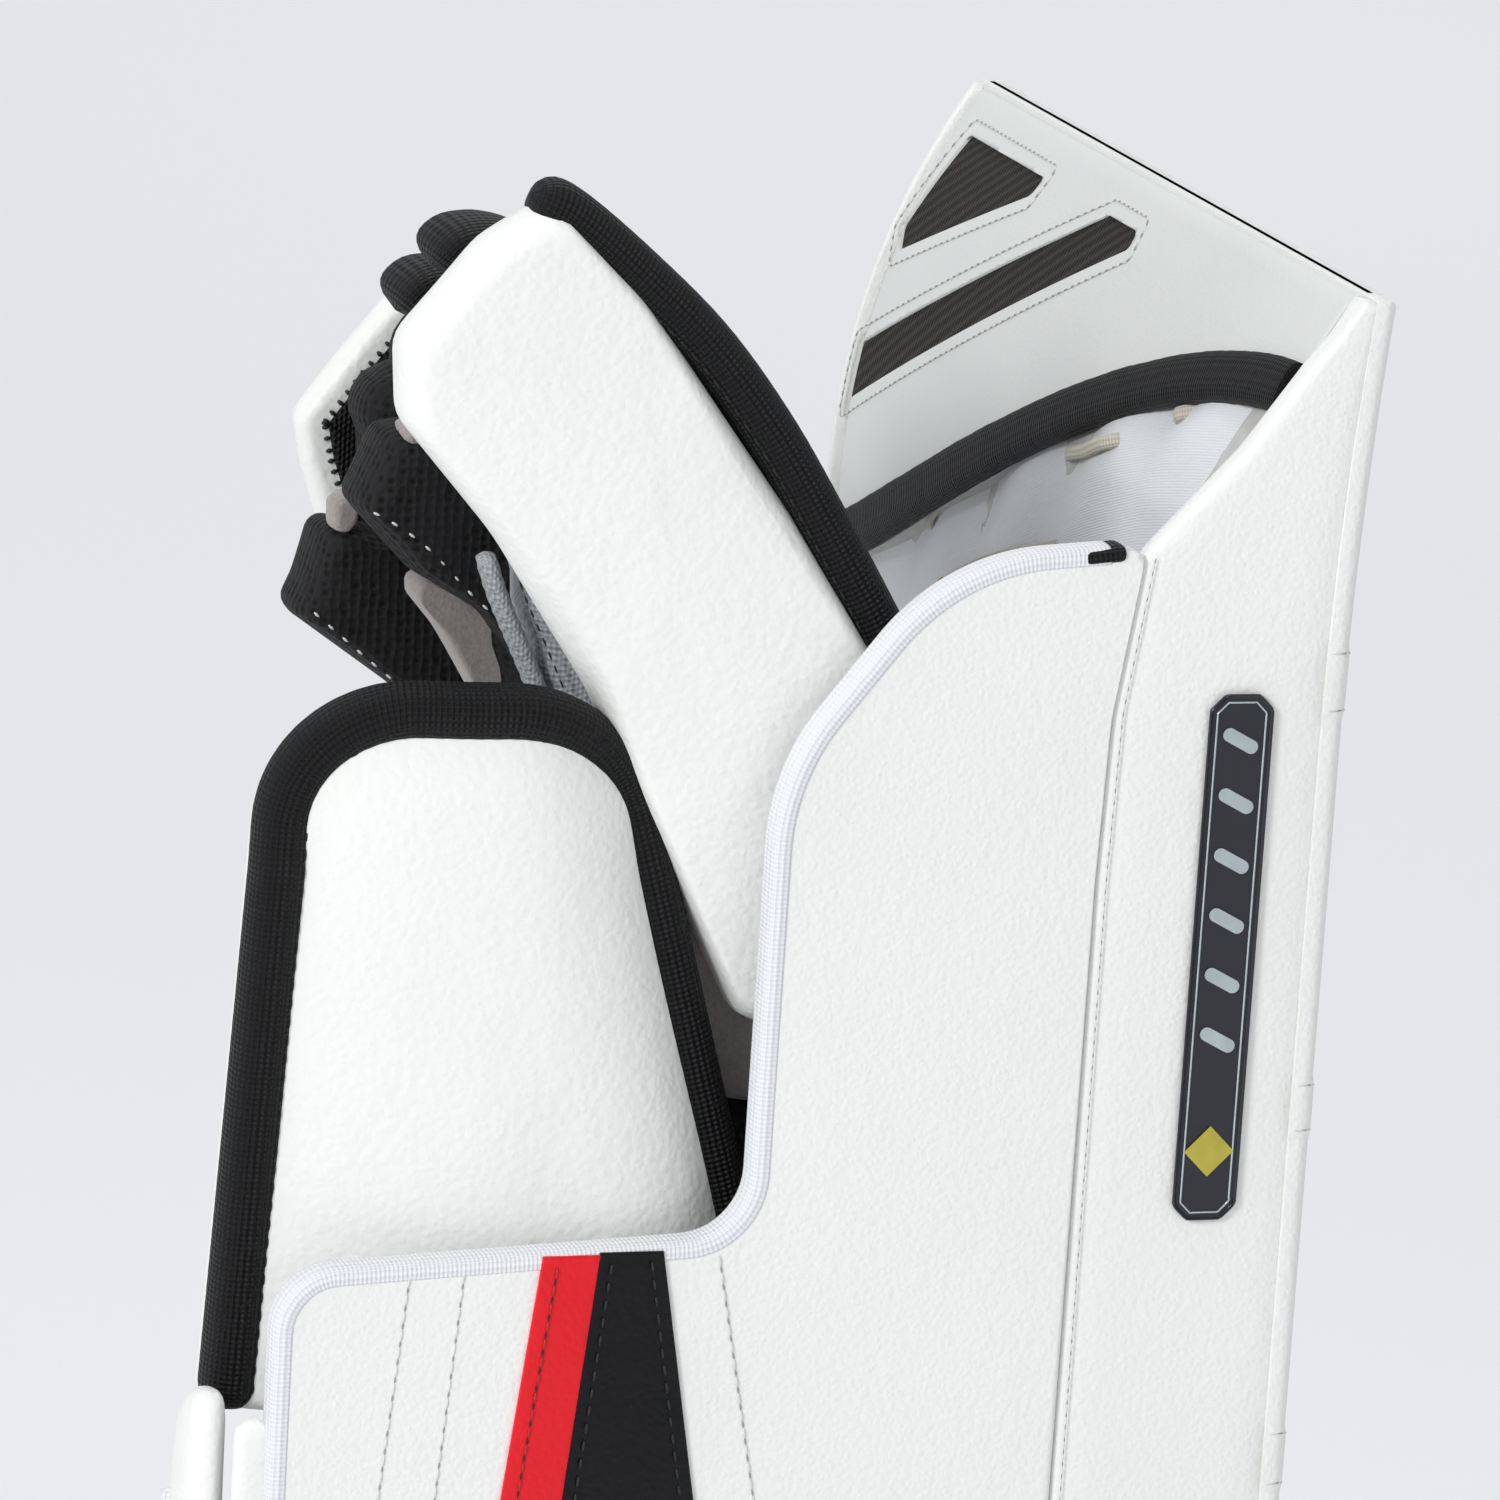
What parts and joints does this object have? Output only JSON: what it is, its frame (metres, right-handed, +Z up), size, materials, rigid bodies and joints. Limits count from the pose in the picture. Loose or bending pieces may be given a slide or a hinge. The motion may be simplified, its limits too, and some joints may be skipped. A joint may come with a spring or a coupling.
{
  "type": "goalie blocker",
  "caption": "Ice hockey goalie blocker: flat padded board with deep side shield and cuff, and a glove with padded index and thumb guards that bend.",
  "frame": {"origin": "middle of the board's bottom edge, on the blocking face", "axes": "+Z up the board towards the fingertips, -Y out of the blocking face, +Y out of the palm, -X towards the thumb"},
  "size_m": [0.2042, 0.1985, 0.397],
  "materials": {
    "white_leather": "fine pebble grain, low sheen",
    "smooth_leather": "smooth, matte",
    "red_leather": "pebble grain, glossy",
    "black_leather": "pebble grain, glossy",
    "black_binding": "woven nylon binding",
    "white_binding": "knitted edge binding",
    "white_nylon": "woven nylon lining",
    "black_mesh": "open spacer mesh",
    "window_mesh": "ribbed coated mesh",
    "grey_suede": "brushed synthetic suede",
    "grey_stretch": "ribbed stretch knit",
    "foam": "closed-cell foam",
    "plastic_plate": "sheet plastic",
    "lace": "waxed flat lace",
    "badge_black": "moulded film",
    "badge_silver": "foil",
    "badge_gold": "foil",
    "hook_loop": "hook and loop tape"
  },
  "bodies": {
    "root": {"front_cover": "white_leather", "stiffener_plate": "plastic_plate", "board_core": "foam", "back_liner": "white_nylon", "end_panel_foam": "foam", "end_panel": "smooth_leather", "window_mesh_upper": "window_mesh", "window_mesh_lower": "window_mesh", "rim_binding": "black_binding", "rim_lace": "lace", "thumb_side_wall": "white_leather", "pinky_side_wall": "white_leather", "bottom_end_wall": "white_leather", "side_shield_cover": "white_leather", "side_shield_core": "plastic_plate", "side_shield_lining": "white_nylon", "shield_binding": "white_binding", "red_stripe": "red_leather", "black_stripe": "black_leather", "badge_plate": "badge_black", "badge_bars": "badge_silver", "badge_diamond": "badge_gold", "outer_wing_cover": "white_leather", "outer_wing_core": "foam", "outer_wing_binding": "white_binding", "glove_back": "black_mesh", "glove_palm": "grey_suede", "back_hand_pad": "foam", "thumb_gusset": "black_mesh", "strap_loop_patch": "hook_loop", "strap_anchor": "black_binding"},
    "index_finger": {"index_stall": "black_mesh", "index_guard_shell": "white_leather", "index_guard_foam": "foam", "index_guard_binding": "black_binding"},
    "middle_finger": {"middle_stall": "black_mesh", "middle_guard": "black_binding"},
    "ring_finger": {"ring_stall": "grey_stretch", "ring_guard": "black_binding"},
    "pinky_finger": {"pinky_stall": "black_mesh", "pinky_guard": "white_leather", "pinky_guard_lining": "black_binding"},
    "thumb": {"thumb_stall": "grey_suede", "thumb_guard_shell": "white_leather", "thumb_guard_foam": "foam", "thumb_guard_binding": "black_binding"},
    "strap": {"wrist_strap": "hook_loop"},
    "palm_flap": {"palm_flap_cover": "white_leather", "palm_flap_foam": "foam", "palm_flap_binding": "white_binding"}
  },
  "joints": [
    {"name": "index_bend", "type": "hinge", "parent": "root", "child": "index_finger", "pos_m": [-0.0595, 0.106, 0.27], "axis": [-1, 0, 0], "range_deg": [-20, 0], "stiffness_Nm_per_rad": 2},
    {"name": "middle_bend", "type": "hinge", "parent": "root", "child": "middle_finger", "pos_m": [-0.0355, 0.106, 0.27], "axis": [-1, 0, 0], "range_deg": [-15, 35], "stiffness_Nm_per_rad": 1},
    {"name": "ring_bend", "type": "hinge", "parent": "root", "child": "ring_finger", "pos_m": [-0.0115, 0.106, 0.27], "axis": [-1, 0, 0], "range_deg": [-15, 35], "stiffness_Nm_per_rad": 1},
    {"name": "pinky_bend", "type": "hinge", "parent": "root", "child": "pinky_finger", "pos_m": [0.0125, 0.106, 0.27], "axis": [-1, 0, 0], "range_deg": [-15, 35], "stiffness_Nm_per_rad": 1},
    {"name": "thumb_spread", "type": "hinge", "parent": "root", "child": "thumb", "pos_m": [-0.058, 0.149, 0.205], "axis": [0, -1, 0], "range_deg": [0, 10], "stiffness_Nm_per_rad": 2},
    {"name": "strap_peel", "type": "hinge", "parent": "root", "child": "strap", "pos_m": [0.007, 0.13385, 0.217], "axis": [0, 0, -1], "range_deg": [0, 100]},
    {"name": "flap_open", "type": "hinge", "parent": "root", "child": "palm_flap", "pos_m": [-0.097, 0.19, 0.097], "axis": [0, 0, 1], "range_deg": [0, 50], "stiffness_Nm_per_rad": 2}
  ]
}
